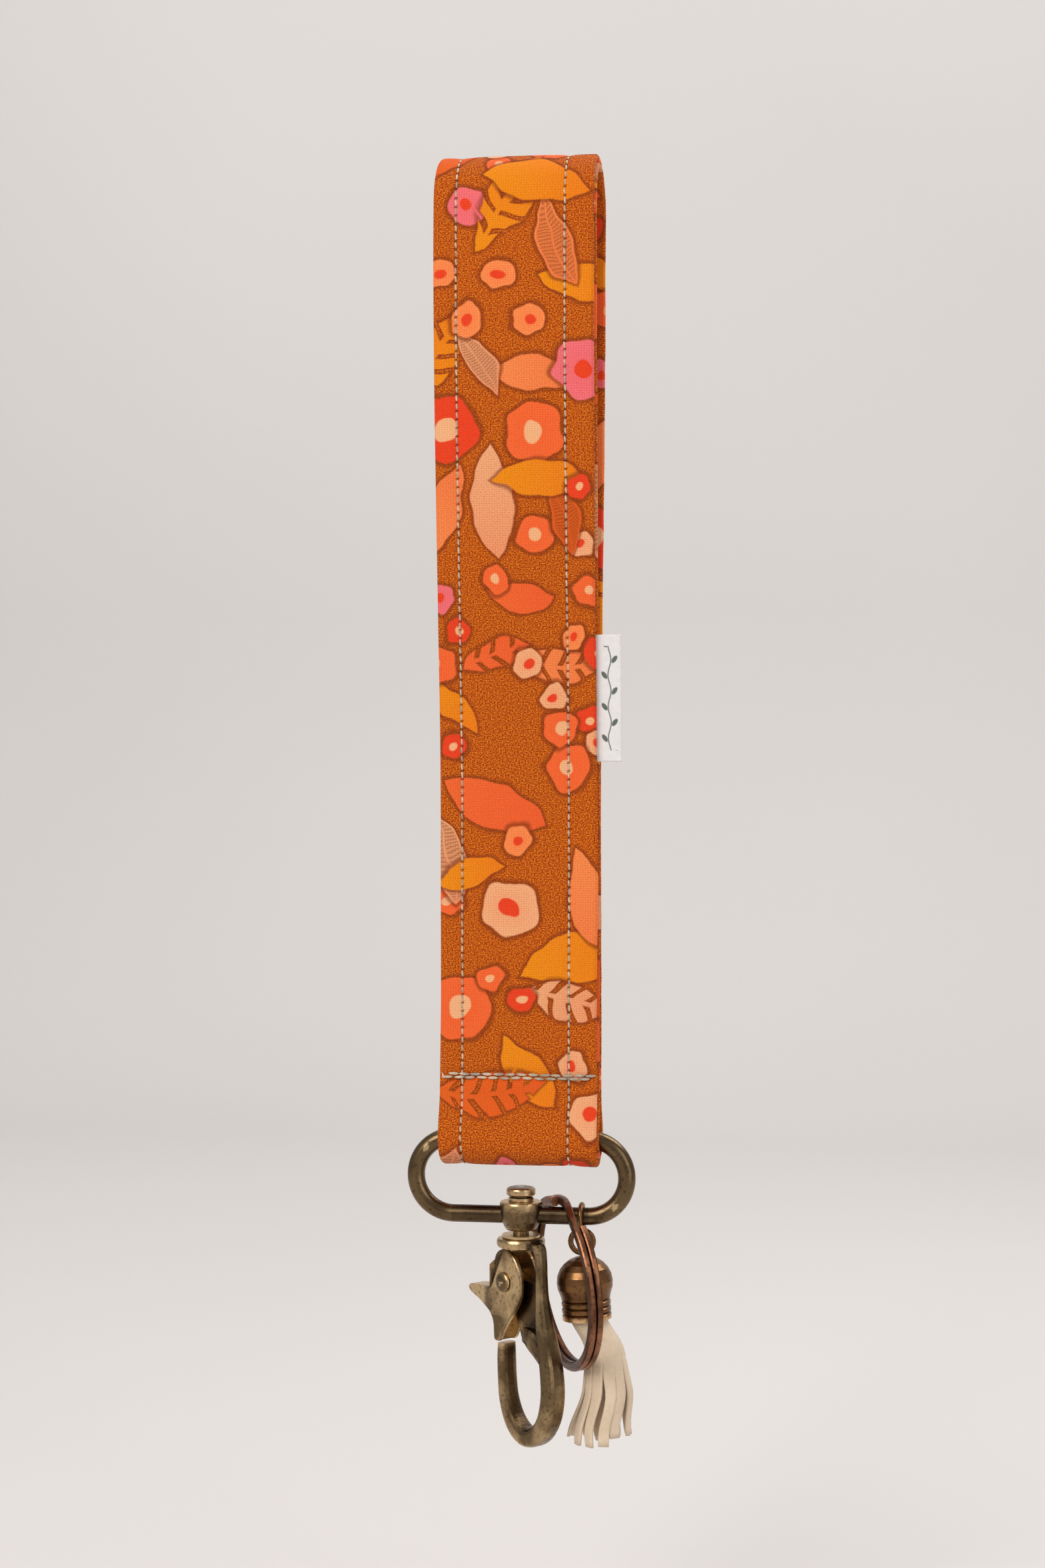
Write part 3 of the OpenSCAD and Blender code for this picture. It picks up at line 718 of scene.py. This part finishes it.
def side_label():
    """A ribbon folded double round its outer edge, held in the strap's slit."""
    rows, half_t, gap = 70, 0.11 * MM, 0.16 * MM
    reach = label_high.x - label_low.x
    straight = np.linspace(0, 1, 9)
    turn = np.radians(np.linspace(90, -90, 7)[1:-1])
    offset = gap + half_t
    section = ([(label_low.x + (reach - offset) * t, offset) for t in straight]
               + [(label_high.x - offset + offset * math.cos(a), offset * math.sin(a))
                  for a in turn]
               + [(label_low.x + (reach - offset) * t, -offset) for t in straight[::-1]])
    grid, uv = np.zeros((rows, len(section), 3)), np.zeros((rows, len(section), 2))
    for i in range(rows):
        t = i / (rows - 1)
        z = label_low.z + (label_high.z - label_low.z) * t
        middle = -float(side_y(np.array(z)))
        for j, (x, y) in enumerate(section):
            free = max(0.0, (x - HALF_W) / (label_high.x - HALF_W))
            wave = 0.28 * MM * math.sin(2.1 + 5.2 * t) * free ** 2
            curl = 0.25 * MM * free ** 2 * (2 * t - 1) ** 4
            grid[i, j] = (x, middle + y * (0.55 + 0.45 * free) + wave - curl, z)
            uv[i, j] = ((x - label_low.x) / MM, (z - label_low.z) / MM)
    obj = surface("label_ribbon", grid, uv=uv)
    solid = obj.modifiers.new("thickness", "SOLIDIFY")
    solid.thickness = half_t
    solid.offset = 0
    finish_piece(obj, "strap", label_material(), ["side_label"])


# ---- suede fringe ----

PIVOT = Vector(JOINTS["tassel_side_swing"]["pos_m"])
LEAN = math.radians(4)
STRIP_HIDDEN = 3.2 * MM           # length of a strip inside the cap
PUSH_OUT, PUSH_BACK = 3.1, 2.0    # how far the fringe is pushed past the split ring, in mm
BACK_FROM = -30.1 * MM            # height below the link at which it starts to fall back


def tassel_frame(x, y, z):
    """A place beside the tassel's own axis, z below its link, turned by the tassel's lean."""
    return (PIVOT.x + x * math.cos(LEAN) - z * math.sin(LEAN), PIVOT.y + y,
            PIVOT.z + x * math.sin(LEAN) + z * math.cos(LEAN))


def suede_strip(angle, inner, spread, length, twist, curl, chance):
    """One cut strip of suede: flat, a little uneven, curling as it hangs."""
    top = cap_low.z - PIVOT.z + STRIP_HIDDEN
    rows = 22
    wobble = [chance.uniform(-1, 1) for _ in range(6)]
    rings = []
    for i in range(rows):
        t = i / (rows - 1)
        z = top - length * t
        free = max(0.0, (t - 0.22) / 0.78)
        r = inner + (spread - inner) * free ** 1.3
        push = MM * float(PUSH_OUT * ease((cap_low.z - PIVOT.z - z + 1.5 * MM) / (8 * MM))
                          - PUSH_BACK * ease((BACK_FROM - z) / (9 * MM)))
        turn = angle + twist * free
        out = np.array((math.cos(turn), math.sin(turn)))
        side = np.array((-out[1], out[0]))
        way = (0.30 * math.sin(wobble[0] * 3 + 5 * t) + 0.2 * wobble[1]) * MM * free * 2
        centre = np.array((r * math.cos(angle) + push, r * math.sin(angle))) + side * way
        centre = centre + out * curl * free ** 2
        width = (1.12 + 0.07 * math.sin(9 * t + 3 * wobble[2])) * MM
        if i == rows - 1:
            width *= 0.93
        thick = 0.40 * MM
        cup = 0.22 * MM * wobble[3] * free
        ring = []
        for k in range(12):
            a = 2 * math.pi * (k + 0.5) / 12
            c, d = math.cos(a), math.sin(a)
            w = width * math.copysign(abs(c) ** 0.5, c)
            h = thick * math.copysign(abs(d) ** 0.6, d) + cup * (w / width) ** 2
            p = centre + side * w + out * h
            ring.append(tassel_frame(p[0], p[1], z + 0.15 * MM * wobble[4] * c * (t == 1)))
        rings.append(ring)
    return tube_part(np.array(rings))


def fringe(name, count, inner, spread, start, seed, node, material):
    chance = random.Random(seed)
    reach = cap_low.z - fringe_low.z + STRIP_HIDDEN
    parts = []
    for i in range(count):
        angle = start + 2 * math.pi * (i + chance.uniform(-0.08, 0.08)) / count
        parts.append(suede_strip(
            angle, inner, spread * chance.uniform(0.9, 1.06), reach - chance.uniform(0, 1.6) * MM,
            chance.uniform(-0.5, 0.5), chance.uniform(-0.5, 0.4) * MM, chance))
    finish_piece(joined(name, parts), "tassel", material, [node])


# ---- metal parts ----

def metals():
    brass = aged_metal("antique_brass", rgb(214, 184, 138), rgb(134, 110, 78),
                       rgb(48, 37, 28), 0.13)
    bronze = aged_metal("dark_bronze", rgb(186, 128, 94), rgb(98, 62, 42), rgb(38, 25, 19),
                        0.16)
    copper = aged_metal("antique_copper", rgb(232, 190, 140), rgb(150, 108, 68),
                        rgb(58, 37, 26), 0.14)
    finishes = {
        "antique_brass": (brass, ("swivel_ring", "swivel_stud", "swivel_washer", "hook_body",
                                  "trigger_pin", "trigger_lever")),
        "dark_bronze": (bronze, ("split_ring",)),
        "antique_copper": (copper, ("jump_ring", "tassel_eye", "tassel_cap")),
        "spring_steel": (steel_material(), ("trigger_spring",)),
    }
    for material, nodes in finishes.values():
        for node in nodes:
            dress(frame["nodes"][node], material)


def dress(obj, material):
    """Gives a CAD part its material, and a softened edge."""
    obj.data.materials.clear()
    obj.data.materials.append(material)
    bevel = obj.modifiers.new("worn_edge", "BEVEL")
    bevel.width = 0.12 * MM
    bevel.segments = 2
    bevel.limit_method = "ANGLE"
    bevel.angle_limit = math.radians(35)


# ---- stage, lights and camera ----

FLOOR_DROP = 0.045
WALL_Y = 0.95
COVE = 0.25


def studio():
    floor_z = CAD_BOX[0].z - FLOOR_DROP
    profile = [(-1.6, floor_z), (WALL_Y - COVE, floor_z)]
    profile += [(WALL_Y - COVE + COVE * math.sin(a), floor_z + COVE * (1 - math.cos(a)))
                for a in np.radians(range(10, 91, 10))]
    profile += [(WALL_Y, 1.6)]
    grid = np.array([[(x, y, z) for x in (-2.0, 2.0)] for y, z in profile])
    backdrop = surface("studio_backdrop", grid)
    s = Shade("backdrop_paper")
    tone = s.noise(s.place(), 3.0, 2.0)
    backdrop.data.materials.append(s.finish(
        Base_Color=s.mix(tone, rgb(211, 207, 205), rgb(217, 213, 210)), Roughness=0.9))


def area_light(name, place, target, size, power, colour=(1, 1, 1)):
    data = bpy.data.lights.new(name, "AREA")
    data.shape = "RECTANGLE"
    data.size, data.size_y = size
    data.energy = power
    data.color = colour
    light = bpy.data.objects.new(name, data)
    light.location = place
    light.rotation_euler = (Vector(target) - Vector(place)).to_track_quat("-Z", "Y").to_euler()
    bpy.context.scene.collection.objects.link(light)


ROOM_LIGHT = 0.5


def lights():
    middle = (0, 0, (CAD_BOX[0].z + CAD_BOX[1].z) / 2)
    area_light("key", (-0.45, -0.75, 0.42), middle, (0.6, 0.6), 6.6, (1, 0.975, 0.94))
    area_light("fill", (0.75, -0.55, 0.0), middle, (0.5, 0.9), 2.6, (0.95, 0.97, 1))
    area_light("rim", (0.35, 0.25, 0.35), middle, (0.25, 0.4), 1.6)
    area_light("wall", (0.0, 0.35, 0.75), (0, WALL_Y, -0.1), (1.4, 0.3), 4.4)
    world = bpy.data.worlds.new("soft_room")
    world.use_nodes = True
    background = world.node_tree.nodes["Background"]
    background.inputs["Color"].default_value = (0.86, 0.85, 0.84, 1)
    background.inputs["Strength"].default_value = ROOM_LIGHT
    bpy.context.scene.world = world
    bpy.context.scene.view_settings.view_transform = "Standard"


CAMERA_AZIMUTH = math.radians(8.36)
CAMERA_ELEVATION = math.radians(1.23)
CAMERA_DISTANCE = 0.553
CAMERA_TARGET = Vector((0.0003, 0, -0.114))
CAMERA_LENS = 63.8


def camera():
    data = bpy.data.cameras.new("camera")
    data.sensor_fit = "AUTO"
    data.sensor_width = 36
    data.lens = CAMERA_LENS
    data.clip_start = 0.01
    eye = bpy.data.objects.new("camera", data)
    flat = math.cos(CAMERA_ELEVATION)
    way = Vector((math.sin(CAMERA_AZIMUTH) * flat, -math.cos(CAMERA_AZIMUTH) * flat,
                  math.sin(CAMERA_ELEVATION)))
    eye.location = CAMERA_TARGET + CAMERA_DISTANCE * way
    eye.rotation_euler = (-way).to_track_quat("-Z", "Y").to_euler()
    bpy.context.scene.collection.objects.link(eye)
    bpy.context.scene.camera = eye


# ---- the scene ----

camera()
sleeve()
thread = thread_material()
row_of_stitches("stitches_left", LEFT_ROW, "topstitch_left", thread, 21)
row_of_stitches("stitches_right", RIGHT_ROW, "topstitch_right", thread, 22)
seam_stitches(thread)
side_label()
dress(frame["nodes"]["strap_core"], fleece_material())
metals()
suede = suede_material()
dress(frame["nodes"]["tassel_roll"], suede)
fringe("suede_outer", 12, 3.25 * MM, 6.3 * MM, 0.2, 31, "fringe_outer", suede)
fringe("suede_inner", 6, 1.95 * MM, 3.2 * MM, 0.5, 32, "fringe_inner", suede)
studio()
lights()
